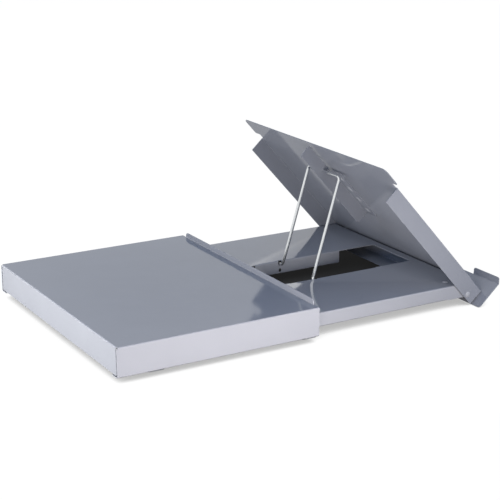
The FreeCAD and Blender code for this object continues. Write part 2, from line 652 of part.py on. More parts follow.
def ledge_tab():
    """End of the ledge's upper edge, bent back over the panel, with rounded corners."""
    path = [
        (TAB_REACH - SHEET, LEDGE_ABOVE + TAB_RISE),
        (-SHEET, LEDGE_ABOVE),
        (-SHEET, 0),
    ]
    outer = LEDGE_WIDTH / 2
    tab = folded_along_x(path, (outer - TAB_WIDTH, outer))
    tip = [
        edge for edge in tab.Edges
        if abs(edge.Length - SHEET) < TINY and edge.BoundBox.ZMin > LEDGE_ABOVE + TAB_RISE / 2
    ]
    return tab.makeFillet(TAB_CORNER, tip)


def paper_ledge():
    half = LEDGE_WIDTH / 2
    plate = box((-half, half), (-SHEET, 0), (-LEDGE_BELOW, LEDGE_ABOVE - BEND))
    lower = ((-half, half), (-SHEET, 0), (-LEDGE_BELOW, -LEDGE_BELOW + SHEET))
    plate = plate.makeFillet(LEDGE_CORNER, edges_along(plate, Vec(0, 1, 0), lower))
    tab = ledge_tab()
    return on_panel(plate.fuse([tab, mirrored(tab)]).cut(ledge_rivet_holes()).removeSplitter())


def ledge_rivets():
    heads = []
    for x in ledge_rivet_places():
        one = rivet(LEDGE_RIVET_RADIUS, LEDGE_RIVET_HEAD, LEDGE_RIVET_HEIGHT, TWO_SHEETS, LEDGE_RIVET_HEAD)
        one = turned_about_x(one, -90)
        heads.append(on_panel(moved(one, x, -SHEET, -LEDGE_RIVET_BELOW)))
    return Part.makeCompound(heads)


def prop_bracket():
    """Rib under the panel: a flange on the panel, and a web with the hole for the prop."""
    root = -SHEET
    path = [(BRACKET_OFFSET, -BRACKET_DEPTH), (BRACKET_OFFSET, root), (BRACKET_OFFSET - BRACKET_FLANGE, root)]
    rib = folded_along_y(path, (BRACKET_START, BRACKET_END))
    free_root = box(
        (BRACKET_OFFSET - BRACKET_FLANGE, BRACKET_OFFSET),
        (BRACKET_FLANGE_END, BRACKET_END),
        (root - EDGE_FOLD, root),
    )
    rib = rib.cut(free_root)
    flange_edge = (
        (BRACKET_OFFSET - BRACKET_FLANGE, BRACKET_OFFSET - BRACKET_FLANGE),
        (BRACKET_START, BRACKET_END),
        (root - SHEET, root),
    )
    rib = rib.makeFillet(BRACKET_CORNER, edges_along(rib, Vec(0, 0, 1), flange_edge))
    web_foot = ((0, BRACKET_OFFSET), (BRACKET_START, BRACKET_END), (-BRACKET_DEPTH, SHEET - BRACKET_DEPTH))
    rib = rib.makeFillet(BRACKET_CORNER, edges_along(rib, Vec(1, 0, 0), web_foot))
    hole = drilled_x(WIRE_RADIUS + WIRE_FIT, PROP_ALONG, -PROP_BELOW, (0, BRACKET_OFFSET + SHEET))
    return on_panel(rib.cut(hole))


# ---- prop ----
def prop_wire():
    """One wire: a foot turned out, a leg, the cross wire, a leg, a foot turned out."""
    leg_x = PROP_WIDTH / 2
    foot_x = RAIL_WALL_X - FOOT_WALL_GAP
    path = [
        (-foot_x, -PROP_LENGTH),
        (-leg_x, -PROP_LENGTH),
        (-leg_x, 0),
        (leg_x, 0),
        (leg_x, -PROP_LENGTH),
        (foot_x, -PROP_LENGTH),
    ]
    spine = Part.Wire(rounded_edges(path, WIRE_BEND, across))
    section = Part.Wire(Part.makeCircle(WIRE_RADIUS, across(path[0]), Vec(1, 0, 0)))
    wire = spine.makePipeShell([section], True, False)
    return moved(turned_about_x(wire, PROP_LEAN), 0, CROSS_WIRE_Y, CROSS_WIRE_Z)


def both_sides(name, shape):
    """The right-hand piece and its mirror image."""
    return {name + "_right": shape, name + "_left": mirrored(shape)}


PIECES = {
    "housing_cover": housing_cover(),
    **both_sides("runner", runner()),
    "base_strap_front": base_strap(STRAP_FRONT_Y),
    "base_strap_rear": base_strap(STRAP_REAR_Y),
    "strap_rivets": strap_rivets(),
    **both_sides("foot_front", rubber_foot(1, STRAP_FRONT_Y)),
    **both_sides("foot_rear", rubber_foot(1, STRAP_REAR_Y)),
    **both_sides("glide", glide()),
    "drawer_tray": drawer_tray(),
    **both_sides("slider", slider()),
    "slider_screws": slider_screws(),
    **both_sides("pivot_bracket", pivot_bracket()),
    "tray_rivets": tray_rivets(),
    **both_sides("pivot_pin", pivot_pin()),
    **both_sides("pivot_washer", pivot_washer()),
    "document_panel": document_panel(),
    "paper_ledge": paper_ledge(),
    "ledge_rivets": ledge_rivets(),
    "prop_bracket": prop_bracket(),
    "prop_wire": prop_wire(),
}

for node, shape in PIECES.items():
    moved(shape, 0, ORIGIN_SHIFT_Y, 0).exportStep(f"parts/{node}.step")
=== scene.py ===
"""The looks of a sheet-steel document holder: platform, pull-out tray, tilting panel and wire prop.

Metres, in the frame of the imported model: the origin on the desk in the middle of the footprint, Z up.
"""
import math

import bmesh
import bpy
from mathutils import Matrix, Vector


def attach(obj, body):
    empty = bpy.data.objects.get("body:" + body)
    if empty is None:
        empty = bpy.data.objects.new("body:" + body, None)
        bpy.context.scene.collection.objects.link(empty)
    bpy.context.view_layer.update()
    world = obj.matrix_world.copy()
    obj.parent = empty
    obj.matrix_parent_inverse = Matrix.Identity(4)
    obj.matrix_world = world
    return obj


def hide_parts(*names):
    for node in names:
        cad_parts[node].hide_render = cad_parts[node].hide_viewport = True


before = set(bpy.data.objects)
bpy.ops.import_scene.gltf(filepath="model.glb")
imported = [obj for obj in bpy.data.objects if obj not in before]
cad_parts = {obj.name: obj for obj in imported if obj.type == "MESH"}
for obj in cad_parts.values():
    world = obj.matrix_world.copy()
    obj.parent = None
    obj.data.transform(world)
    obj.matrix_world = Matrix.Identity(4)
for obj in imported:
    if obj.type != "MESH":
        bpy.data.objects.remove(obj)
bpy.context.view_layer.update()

MM = 0.001
scene = bpy.context.scene


# --------------------------------------------------------------------------------------------------------
# Platform cover. One sheet of 1.2 mm steel, cut, folded down on three sides and up into a low stop lip in
# front, with open corner seams. It is sprayed in a satin grey enamel after folding, which rounds every cut
# edge a little.
PLATFORM_EDGE_ROUND = 0.4 * MM
FACET_ANGLE = math.radians(35)  # edges sharper than this are rounded
ENAMEL_CLOUD = 60 * MM          # size of the slow changes of shade
ENAMEL_RUB = 25 * MM            # size of the changes of gloss
ENAMEL_ROUGHNESS = (0.05, 0.10)
# lighter edge colour: partly a thin worn coat, partly a painted highlight on the rounded edges
ENAMEL_EDGE_WEAR_AND_HIGHLIGHT_COLOUR = "D2D5D9"
ENAMEL_WORN_ROUGHNESS = 0.42
ENAMEL_WORN_WIDTH = 0.9 * MM    # how far from an edge the coat is thin and painted lighter as a highlight
ENAMEL_NICK = 7 * MM            # size of the patches in which an edge is more or less worn and highlit
ENAMEL_NICK_SHARE = (0.12, 0.42)
ENAMEL_PEEL = 1.6 * MM          # spacing of the orange peel in the sprayed coat
ENAMEL_PEEL_HEIGHT = 0.0004 * MM
SHEET_WAVE = 170 * MM           # slow waves that cutting and folding leave in a flat sheet
SHEET_WAVE_HEIGHT = 0.05 * MM


def linear(hex_code):
    """An sRGB hex colour as linear RGBA."""
    parts = [int(hex_code[i:i + 2], 16) / 255 for i in (0, 2, 4)]
    return tuple(c / 12.92 if c <= 0.04045 else ((c + 0.055) / 1.055) ** 2.4 for c in parts) + (1.0,)


def add(tree, kind, inputs=None, **settings):
    """A node with its settings, and its inputs set or linked by socket name or number."""
    node = tree.nodes.new(kind)
    for key, value in settings.items():
        setattr(node, key, value)
    for key, value in (inputs or {}).items():
        if isinstance(value, bpy.types.NodeSocket):
            tree.links.new(value, node.inputs[key])
        else:
            node.inputs[key].default_value = value
    return node


def new_material(name):
    """An empty material with its output and Principled shader, and the piece's own coordinates in metres."""
    material = bpy.data.materials.new(name)
    material.use_nodes = True
    tree = material.node_tree
    tree.nodes.clear()
    shader = add(tree, "ShaderNodeBsdfPrincipled")
    add(tree, "ShaderNodeOutputMaterial", {"Surface": shader.outputs[0]})
    place = add(tree, "ShaderNodeTexCoord").outputs["Object"]
    return material, tree, shader, place


def satin_enamel(name, hex_low, hex_high):
    """Sprayed satin enamel on steel: an even cool grey, a soft sheen, and edges painted lighter, partly a
    worn coat and partly a painted highlight.
    """
    material, tree, shader, place = new_material(name)
    cloud = add(tree, "ShaderNodeTexNoise", {"Vector": place, "Scale": 1 / ENAMEL_CLOUD, "Detail": 3.0})
    tone = add(tree, "ShaderNodeMix", {0: cloud.outputs["Fac"], 6: linear(hex_low), 7: linear(hex_high)},
               data_type="RGBA")
    turned = add(tree, "ShaderNodeBevel", {"Radius": ENAMEL_WORN_WIDTH}, samples=4)
    flat = add(tree, "ShaderNodeNewGeometry")
    square = add(tree, "ShaderNodeVectorMath", {0: turned.outputs[0], 1: flat.outputs["True Normal"]},
                 operation="DOT_PRODUCT")
    near_edge = add(tree, "ShaderNodeMapRange", {"Value": square.outputs["Value"], "From Min": 0.98,
                                                 "From Max": 0.80})
    wear_and_highlight_patches = add(tree, "ShaderNodeTexNoise", {"Vector": place, "Scale": 1 / ENAMEL_NICK, "Detail": 5.0})
    patchy_wear_and_highlight = add(tree, "ShaderNodeMapRange", {
        "Value": wear_and_highlight_patches.outputs["Fac"], "From Min": 0.42, "From Max": 0.62,
        "To Min": ENAMEL_NICK_SHARE[0], "To Max": ENAMEL_NICK_SHARE[1]})
    # the edges are painted lighter, partly as wear and partly as a painted highlight
    edge_wear_and_highlight = add(tree, "ShaderNodeMath", {0: near_edge.outputs[0], 1: patchy_wear_and_highlight.outputs[0]}, operation="MULTIPLY")
    worn = add(tree, "ShaderNodeMix", {0: edge_wear_and_highlight.outputs[0], 6: tone.outputs[2], 7: linear(ENAMEL_EDGE_WEAR_AND_HIGHLIGHT_COLOUR)},
               data_type="RGBA")
    tree.links.new(worn.outputs[2], shader.inputs["Base Color"])
    rub = add(tree, "ShaderNodeTexNoise", {"Vector": place, "Scale": 1 / ENAMEL_RUB, "Detail": 4.0})
    gloss = add(tree, "ShaderNodeMapRange", {"Value": rub.outputs["Fac"], "To Min": ENAMEL_ROUGHNESS[0],
                                             "To Max": ENAMEL_ROUGHNESS[1]})
    rubbed = add(tree, "ShaderNodeMix",
                 {0: near_edge.outputs[0], 2: gloss.outputs[0], 3: ENAMEL_WORN_ROUGHNESS}, data_type="FLOAT")
    tree.links.new(rubbed.outputs[0], shader.inputs["Roughness"])
    peel = add(tree, "ShaderNodeTexNoise", {"Vector": place, "Scale": 1 / ENAMEL_PEEL, "Detail": 1.0})
    wave = add(tree, "ShaderNodeTexNoise", {"Vector": place, "Scale": 1 / SHEET_WAVE, "Detail": 1.0})
    slow = add(tree, "ShaderNodeBump", {"Height": wave.outputs["Fac"], "Distance": SHEET_WAVE_HEIGHT})
    fine = add(tree, "ShaderNodeBump", {"Height": peel.outputs["Fac"], "Distance": ENAMEL_PEEL_HEIGHT,
                                        "Normal": slow.outputs[0]})
    tree.links.new(fine.outputs[0], shader.inputs["Normal"])
    return material


def formed_piece(name, node, edge_round, material, body, steps=2):
    """The piece with every cut edge broken by a small round, in place of its CAD node."""
    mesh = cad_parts[node].data.copy()
    mesh.name = name
    shape = bmesh.new()
    shape.from_mesh(mesh)
    bmesh.ops.remove_doubles(shape, verts=shape.verts, dist=1e-6)
    bmesh.ops.dissolve_limit(shape, angle_limit=math.radians(0.5), verts=shape.verts, edges=shape.edges)
    shape.to_mesh(mesh)
    shape.free()
    mesh.materials.clear()
    mesh.materials.append(material)
    mesh.shade_smooth()
    piece = bpy.data.objects.new(name, mesh)
    scene.collection.objects.link(piece)
    rounding = piece.modifiers.new("broken_edges", "BEVEL")
    rounding.width = edge_round
    rounding.segments = steps
    rounding.limit_method = "ANGLE"
    rounding.angle_limit = FACET_ANGLE
    rounding.offset_type = "ABSOLUTE"      # the tool's other ways leave spikes at the relief cuts
    rounding.use_clamp_overlap = False
    level = piece.modifiers.new("flat_faces_stay_flat", "WEIGHTED_NORMAL")
    level.mode = "FACE_AREA"
    level.weight = 100
    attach(piece, body)
    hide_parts(node)


enamel = satin_enamel("satin_enamel_sprayed_on_steel", "A5A8AE", "ACAFB5")
formed_piece("platform_cover", "housing_cover", PLATFORM_EDGE_ROUND, enamel, "base")


# --------------------------------------------------------------------------------------------------------
# Straps across the underside and the rivets that hold them. The straps are sheared from zinc-plated strip;
# each end has two domed steel rivets, set from below through the strap and the cover's in-turned edge.
STRAP_EDGE_ROUND = 0.2 * MM
PLATE_CLOUD = 14 * MM           # size of the clouds in the plating
ROLL_LINE = 0.5 * MM            # spacing of the rolling lines in plated strip, drawn coarse enough to show
RIVET_SIDES = 32
RIVET_HEAD = 4.75 * MM
RIVET_HEAD_HEIGHT = 1.6 * MM
RIVET_SHANK = 2.0 * MM
RIVET_GRIP = 2.4 * MM
RIVET_TAIL = 3.4 * MM
RIVET_TAIL_HEIGHT = 1.0 * MM
STRAP_UNDERSIDE = 8.3           # above the desk, in millimetres, as are the places of all turned parts
STRAP_RIVET_PLACES = [(side * 206.0, y, STRAP_UNDERSIDE) for side in (-1, 1)
                      for y in (14.781, 27.781, 265.281, 278.281)]
SHARP_CREASE = math.radians(40)    # turned and bent parts are shaded smooth across edges gentler than this


def zinc_plate(name, along, hex_low, hex_high, gloss_span):
    """Bright zinc plate: a cool pale metal, clouded where the plating varies, with fine rolling lines."""
    material, tree, shader, place = new_material(name)
    shader.inputs["Metallic"].default_value = 1.0
    cloud = add(tree, "ShaderNodeTexNoise", {"Vector": place, "Scale": 1 / PLATE_CLOUD, "Detail": 5.0})
    tone = add(tree, "ShaderNodeMix", {0: cloud.outputs["Fac"], 6: linear(hex_low), 7: linear(hex_high)},
               data_type="RGBA")
    tree.links.new(tone.outputs[2], shader.inputs["Base Color"])
    stretch = tuple(0.04 if axis == along else 1.0 for axis in "XYZ")
    lines_place = add(tree, "ShaderNodeMapping", {"Vector": place, "Scale": stretch})
    lines = add(tree, "ShaderNodeTexNoise", {"Vector": lines_place.outputs[0], "Scale": 1 / ROLL_LINE,
                                             "Detail": 2.0})
    gloss = add(tree, "ShaderNodeMapRange", {"Value": lines.outputs["Fac"], "To Min": gloss_span[0],
                                             "To Max": gloss_span[1]})
    tree.links.new(gloss.outputs[0], shader.inputs["Roughness"])
    grain = add(tree, "ShaderNodeBump", {"Height": lines.outputs["Fac"], "Distance": 0.004 * MM})
    tree.links.new(grain.outputs[0], shader.inputs["Normal"])
    return material


def turned_parts(name, profile, places, axis, material, body, nodes, sides=RIVET_SIDES, cut=None):
    """Equal turned parts, spun from a profile of (radius, height), far end first; cut is a driver slot."""
    radius = max(point[0] for point in profile)
    low = min(point[1] for point in profile)
    height = max(point[1] for point in profile) - low
    tree = bpy.data.node_groups.new(name + "_turning", "GeometryNodeTree")
    face = tree.interface
    face.new_socket("Places", in_out="INPUT", socket_type="NodeSocketGeometry")
    sockets = {label: face.new_socket(label, in_out="INPUT", socket_type=kind) for label, kind in (
        ("Radius", "NodeSocketFloat"), ("Height", "NodeSocketFloat"), ("Low end", "NodeSocketFloat"),
        ("Sides", "NodeSocketInt"))}
    face.new_socket("Parts", in_out="OUTPUT", socket_type="NodeSocketGeometry")
    given = add(tree, "NodeGroupInput").outputs
    around = add(tree, "ShaderNodeMath", {0: given["Sides"], 1: 1.0}, operation="ADD")
    grid = add(tree, "GeometryNodeMeshGrid", {"Size X": 1.0, "Size Y": 1.0, "Vertices X": len(profile),
                                              "Vertices Y": around.outputs[0]})
    spot = add(tree, "ShaderNodeSeparateXYZ", {0: add(tree, "GeometryNodeInputPosition").outputs[0]})
    along = add(tree, "ShaderNodeMath", {0: spot.outputs["X"], 1: 0.5}, operation="ADD")
    turn = add(tree, "ShaderNodeMath", {0: spot.outputs["Y"], 1: 2 * math.pi}, operation="MULTIPLY")
    curves = []
    for scaled in ([point[0] / radius for point in profile],
                   [(point[1] - low) / height for point in profile]):
        curve = add(tree, "ShaderNodeFloatCurve", {"Value": along.outputs[0]})
        line = curve.mapping.curves[0]
        line.points[0].location = (0.0, scaled[0])
        line.points[1].location = (1.0, scaled[-1])
        for index in range(1, len(scaled) - 1):
            line.points.new(index / (len(scaled) - 1), scaled[index])
        for point in line.points:
            point.handle_type = "VECTOR"
        curve.mapping.update()
        curves.append(curve)
    reach = add(tree, "ShaderNodeMath", {0: curves[0].outputs[0], 1: given["Radius"]}, operation="MULTIPLY")
    rise = add(tree, "ShaderNodeMath", {0: curves[1].outputs[0], 1: given["Height"], 2: given["Low end"]},
               operation="MULTIPLY_ADD")
    cosine = add(tree, "ShaderNodeMath", {0: turn.outputs[0]}, operation="COSINE")
    sine = add(tree, "ShaderNodeMath", {0: turn.outputs[0]}, operation="SINE")
    x = add(tree, "ShaderNodeMath", {0: cosine.outputs[0], 1: reach.outputs[0]}, operation="MULTIPLY")
    y = add(tree, "ShaderNodeMath", {0: sine.outputs[0], 1: reach.outputs[0]}, operation="MULTIPLY")
    spun = add(tree, "ShaderNodeCombineXYZ", {"X": x.outputs[0], "Y": y.outputs[0], "Z": rise.outputs[0]})
    turned = add(tree, "GeometryNodeSetPosition",
                 {"Geometry": grid.outputs["Mesh"], "Position": spun.outputs[0]})
    closed = add(tree, "GeometryNodeMergeByDistance", {"Geometry": turned.outputs[0], "Distance": 0.001 * MM})
    if cut:
        cutter = add(tree, "GeometryNodeMeshCube", {"Size": (3 * radius, cut[0], 2 * cut[1])})
        lowered = add(tree, "ShaderNodeCombineXYZ", {"Z": given["Low end"]})
        sunk = add(tree, "GeometryNodeTransform", {"Geometry": cutter.outputs["Mesh"],
                                                   "Translation": lowered.outputs[0]})
        closed = add(tree, "GeometryNodeMeshBoolean",
                     {"Mesh 1": closed.outputs[0], "Mesh 2": sunk.outputs[0]},
                     operation="DIFFERENCE", solver="EXACT")
    aim = add(tree, "FunctionNodeAlignRotationToVector", {"Vector": axis}, axis="Z")
    placed = add(tree, "GeometryNodeInstanceOnPoints",
                 {"Points": given["Places"], "Instance": closed.outputs[0], "Rotation": aim.outputs[0]})
    real = add(tree, "GeometryNodeRealizeInstances", {"Geometry": placed.outputs[0]})
    bend = add(tree, "GeometryNodeInputMeshEdgeAngle")
    gentle = add(tree, "FunctionNodeCompare", {0: bend.outputs[0], 1: SHARP_CREASE}, operation="LESS_THAN")
    smooth = add(tree, "GeometryNodeSetShadeSmooth", {"Geometry": real.outputs[0],
                                                      "Shade Smooth": gentle.outputs[0]}, domain="EDGE")
    painted = add(tree, "GeometryNodeSetMaterial", {"Geometry": smooth.outputs[0], "Material": material})
    add(tree, "NodeGroupOutput", {0: painted.outputs[0]})
    mesh = bpy.data.meshes.new(name)
    mesh.from_pydata([tuple(value * MM for value in place) for place in places], [], [])
    piece = bpy.data.objects.new(name, mesh)
    scene.collection.objects.link(piece)
    turning = piece.modifiers.new("turning", "NODES")
    turning.node_group = tree
    for label, value in (("Radius", radius), ("Height", height), ("Low end", low), ("Sides", sides)):
        turning[sockets[label].identifier] = value
    settle(piece, body, nodes)


def settle(piece, body, nodes):
    """The piece's modifiers made into a plain mesh, on its body and in place of its CAD nodes."""
    made = bpy.data.meshes.new_from_object(piece.evaluated_get(bpy.context.evaluated_depsgraph_get()))
    piece.modifiers.clear()
    piece.data = made
    made.name = piece.name
    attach(piece, body)
    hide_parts(*nodes)


def rivet_profile(head, head_height, shank, grip, tail, tail_height, steps=8):
    """Set rivet from its tail, above the grip, to its domed head, below zero, as (radius, height)."""
    soft = 0.2 * MM
    ball = (head ** 2 + head_height ** 2) / (2 * head_height)
    spread = math.asin(head / ball)
    top = grip + tail_height
    profile = [(0, top), (tail - 2 * soft, top), (tail - soft / 2, top - soft / 2), (tail, top - 2 * soft),
               (tail, grip), (shank, grip), (shank, 0), (head, 0), (head, -0.02 * MM)]
    for index in range(1, steps + 1):
        angle = spread * (1 - index / steps)
        profile.append((ball * math.sin(angle), ball - head_height - ball * math.cos(angle)))
    return profile


plated_strip = zinc_plate("zinc_plated_strip_steel", "X", "B9BCC0", "C9CCD1", (0.30, 0.46))
plated_rivet = zinc_plate("zinc_plated_rivet_steel", "Z", "A9ACB1", "BCBFC4", (0.32, 0.45))
for end in ("front", "rear"):
    formed_piece("strap_" + end, "base_strap_" + end, STRAP_EDGE_ROUND, plated_strip, "base")
sheet_rivet = rivet_profile(RIVET_HEAD, RIVET_HEAD_HEIGHT, RIVET_SHANK, RIVET_GRIP, RIVET_TAIL,
                            RIVET_TAIL_HEIGHT)
turned_parts("strap_rivet_heads", sheet_rivet, STRAP_RIVET_PLACES, (0.0, 0.0, 1.0), plated_rivet, "base",
             ["strap_rivets"])


# --------------------------------------------------------------------------------------------------------
# Four feet. Tapered studs moulded in black rubber, with a rounded sole and a shallow well from the moulding
# pin, bonded to the straps under the platform's corners.
FOOT_HEIGHT = 8.3 * MM
FOOT_SOLE = 9.0 * MM
FOOT_TOP = 10.5 * MM
FOOT_TOP_ROUND = 0.3 * MM
FOOT_SOLE_ROUND = 0.8 * MM
FOOT_SOLE_STEPS = 5
FOOT_WIDENING = 0.14 * MM       # by how much the taper widens the stud where the sole's round begins
FOOT_WELL = 3.0 * MM
FOOT_WELL_DEPTH = 0.8 * MM
FOOT_SIDES = 48
RUBBER_DUST = 5 * MM            # size of the patches of grey dust
RUBBER_GRIT = 0.6 * MM          # grain of the mould, drawn coarse enough to show
FOOT_PLACES = [(side * 169.0, y, 0.0) for side in (-1, 1) for y in (21.281, 271.781)]


def moulded_rubber():
    """Moulded rubber: near black and matt, with the fine sandy grain of the mould and a dusting of grey."""
    material, tree, shader, place = new_material("black_rubber_moulded")
    shader.inputs["Specular IOR Level"].default_value = 0.35
    dust = add(tree, "ShaderNodeTexNoise", {"Vector": place, "Scale": 1 / RUBBER_DUST, "Detail": 6.0})
    tone = add(tree, "ShaderNodeMix", {0: dust.outputs["Fac"], 6: linear("17181A"), 7: linear("2B2C2E")},
               data_type="RGBA")
    tree.links.new(tone.outputs[2], shader.inputs["Base Color"])
    matt = add(tree, "ShaderNodeMapRange", {"Value": dust.outputs["Fac"], "To Min": 0.70, "To Max": 0.90})
    tree.links.new(matt.outputs[0], shader.inputs["Roughness"])
    grit = add(tree, "ShaderNodeTexVoronoi", {"Vector": place, "Scale": 1 / RUBBER_GRIT})
    grain = add(tree, "ShaderNodeBump", {"Height": grit.outputs["Distance"], "Distance": 0.03 * MM})
    tree.links.new(grain.outputs[0], shader.inputs["Normal"])
    return material


foot_profile = [(0, FOOT_HEIGHT), (FOOT_TOP - FOOT_TOP_ROUND, FOOT_HEIGHT),
                (FOOT_TOP, FOOT_HEIGHT - FOOT_TOP_ROUND)]
for index in range(FOOT_SOLE_STEPS + 1):
    angle = math.radians(90 * index / FOOT_SOLE_STEPS)
    widening = FOOT_WIDENING * (1 - index / FOOT_SOLE_STEPS)
    foot_profile.append((FOOT_SOLE - FOOT_SOLE_ROUND * (1 - math.cos(angle)) + widening,
                         FOOT_SOLE_ROUND * (1 - math.sin(angle))))
foot_profile += [(FOOT_WELL + 0.5 * MM, 0), (FOOT_WELL + 0.1 * MM, 0.15 * MM),
                 (FOOT_WELL - 0.2 * MM, 0.6 * MM), (FOOT_WELL - 0.6 * MM, FOOT_WELL_DEPTH),
                 (0, FOOT_WELL_DEPTH)]
turned_parts("rubber_feet", foot_profile, FOOT_PLACES, (0.0, 0.0, 1.0), moulded_rubber(), "base",
             ["foot_front_left", "foot_front_right", "foot_rear_left", "foot_rear_right"],
             FOOT_SIDES)


# --------------------------------------------------------------------------------------------------------
# Runners and nylon. Two channels folded from zinc-plated strip, spot-welded inside the platform's side
# walls; nylon blocks screwed to the tray's rear corners run in them, and nylon pads on the front strap
# carry the tray's sides.
RUNNER_EDGE_ROUND = 0.2 * MM
NYLON_EDGE_ROUND = 0.5 * MM
SCREW_HEAD = 3.0 * MM
SCREW_HEAD_HEIGHT = 1.5 * MM
SCREW_SHANK = 1.5 * MM
SCREW_REACH = 9.0 * MM
SCREW_THREAD_PITCH = 1.0 * MM
SCREW_THREAD_DEPTH = 0.22 * MM
SCREW_THREAD_TURNS = 8
SCREW_SLOT = (0.8 * MM, 0.7 * MM)     # width and depth
SCREW_PLACE = (191.8, 13.531, 26.0)   # under the head of the right-hand screw
NYLON_FLOW = 8 * MM                   # size of the flow marks


def moulded_nylon():
    """Natural nylon: milky white and faintly warm, with a waxy sheen and soft flow marks from the mould."""
    material, tree, shader, place = new_material("natural_nylon_moulded")
    shader.inputs["Subsurface Weight"].default_value = 0.15
    shader.inputs["Subsurface Radius"].default_value = (1.2 * MM, 1.0 * MM, 0.8 * MM)
    flow = add(tree, "ShaderNodeTexNoise", {"Vector": place, "Scale": 1 / NYLON_FLOW, "Detail": 4.0,
                                            "Distortion": 0.6})
    tone = add(tree, "ShaderNodeMix", {0: flow.outputs["Fac"], 6: linear("DAD8CF"), 7: linear("E9E7DF")},
               data_type="RGBA")
    tree.links.new(tone.outputs[2], shader.inputs["Base Color"])
    sheen = add(tree, "ShaderNodeMapRange", {"Value": flow.outputs["Fac"], "To Min": 0.38, "To Max": 0.52})
    tree.links.new(sheen.outputs[0], shader.inputs["Roughness"])
    marks = add(tree, "ShaderNodeBump", {"Height": flow.outputs["Fac"], "Distance": 0.05 * MM})
    tree.links.new(marks.outputs[0], shader.inputs["Normal"])
    return material


nylon = moulded_nylon()
plated_channel = zinc_plate("zinc_plated_channel_steel", "Y", "B4B7BB", "C6C9CE", (0.28, 0.44))
plated_screw = zinc_plate("zinc_plated_screw_steel", "Y", "B0B3B7", "C4C7CC", (0.24, 0.36))
thread_root = SCREW_SHANK - SCREW_THREAD_DEPTH
screw_profile = [(0, SCREW_REACH), (thread_root, SCREW_REACH)]
for index in range(SCREW_THREAD_TURNS):
    crest = SCREW_REACH - (index + 0.5) * SCREW_THREAD_PITCH
    screw_profile += [(SCREW_SHANK, crest), (thread_root, crest - SCREW_THREAD_PITCH / 2)]
head_and_tail = rivet_profile(SCREW_HEAD, SCREW_HEAD_HEIGHT, SCREW_SHANK, 0, 0, 0)
screw_profile += head_and_tail[head_and_tail.index((SCREW_SHANK, 0)) + 1:]
for side in ("left", "right"):
    formed_piece("channel_" + side, "runner_" + side, RUNNER_EDGE_ROUND, plated_channel, "base")
    formed_piece("nylon_pad_" + side, "glide_" + side, NYLON_EDGE_ROUND, nylon, "base", 3)
    formed_piece("nylon_block_" + side, "slider_" + side, NYLON_EDGE_ROUND, nylon, "drawer", 3)
    outwards = 1.0 if side == "right" else -1.0
    turned_parts("block_screw_" + side, screw_profile,
                 [(SCREW_PLACE[0] * outwards, SCREW_PLACE[1], SCREW_PLACE[2])],
                 (outwards, 0.0, 0.0), plated_screw, "drawer", ["slider_screws"],
                 cut=SCREW_SLOT)


# --------------------------------------------------------------------------------------------------------
# Tray. One folded sheet of 1.2 mm steel with turned-in edges and a long opening, whose sides are folded
# down into the two notched rails that hold the prop's feet. It is enamelled like the platform.
TRAY_EDGE_ROUND = 0.4 * MM
formed_piece("tray_sheet", "drawer_tray", TRAY_EDGE_ROUND, enamel, "drawer")


# --------------------------------------------------------------------------------------------------------
# The panel's pivots. Enamelled angles in the tray's front corners, each held by a domed rivet through the
# tray's top, and a longer rivet through panel, nylon washer, tray and angle on which the panel swings.
ANGLE_EDGE_ROUND = 0.3 * MM
TRAY_TOP = 37.0
TRAY_RIVET_PLACES = [(side * 171.0, -260.219, TRAY_TOP) for side in (-1, 1)]
PIVOT_PLACE = (196.1, -286.619, 19.2)
PIVOT_SHANK = 2.4 * MM
PIVOT_GRIP = 5.5 * MM
WASHER_OUTER = 6.0 * MM
WASHER_HOLE = 2.45 * MM
WASHER_SPAN = (193.0, 194.6)
WASHER_ROUND = 0.25 * MM
WASHER_SIDES = 40
SPRAY_CLOUD = 3 * MM            # size of the patches where the sprayed coat is thicker


def painted_rivet():
    """Rivets sprayed over with the sheet they hold: a thinner coat, so a little lighter and duller."""
    material, tree, shader, place = new_material("satin_enamel_over_rivet_heads")
    cloud = add(tree, "ShaderNodeTexNoise", {"Vector": place, "Scale": 1 / SPRAY_CLOUD, "Detail": 4.0})
    tone = add(tree, "ShaderNodeMix", {0: cloud.outputs["Fac"], 6: linear("A9ACB1"), 7: linear("B7BABF")},
               data_type="RGBA")
    tree.links.new(tone.outputs[2], shader.inputs["Base Color"])
    gloss = add(tree, "ShaderNodeMapRange", {"Value": cloud.outputs["Fac"], "To Min": 0.22, "To Max": 0.34})
    tree.links.new(gloss.outputs[0], shader.inputs["Roughness"])
    runs = add(tree, "ShaderNodeBump", {"Height": cloud.outputs["Fac"], "Distance": 0.02 * MM})
    tree.links.new(runs.outputs[0], shader.inputs["Normal"])
    return material


sprayed_rivet = painted_rivet()
turned_parts("tray_rivet_heads", sheet_rivet, TRAY_RIVET_PLACES, (0.0, 0.0, -1.0), sprayed_rivet, "drawer",
             ["tray_rivets"])
pivot_rivet = rivet_profile(RIVET_HEAD, RIVET_HEAD_HEIGHT, PIVOT_SHANK, PIVOT_GRIP, RIVET_TAIL,
                            RIVET_TAIL_HEIGHT)
washer_thickness = (WASHER_SPAN[1] - WASHER_SPAN[0]) * MM
washer_profile = [
    (WASHER_HOLE, washer_thickness), (WASHER_OUTER - WASHER_ROUND, washer_thickness),
    (WASHER_OUTER, washer_thickness - WASHER_ROUND), (WASHER_OUTER, WASHER_ROUND),
    (WASHER_OUTER - WASHER_ROUND, 0), (WASHER_HOLE, 0), (WASHER_HOLE, washer_thickness),
]
for side, sign in (("left", -1), ("right", 1)):
    formed_piece("corner_angle_" + side, "pivot_bracket_" + side, ANGLE_EDGE_ROUND, enamel, "drawer")
    place = (sign * PIVOT_PLACE[0], PIVOT_PLACE[1], PIVOT_PLACE[2])
    turned_parts("pivot_rivet_" + side, pivot_rivet, [place], (-float(sign), 0.0, 0.0), sprayed_rivet,
                 "drawer", ["pivot_pin_" + side])
    turned_parts("pivot_spacer_" + side, washer_profile, [(sign * WASHER_SPAN[0], place[1], place[2])],
                 (float(sign), 0.0, 0.0), nylon, "drawer", ["pivot_washer_" + side], WASHER_SIDES)
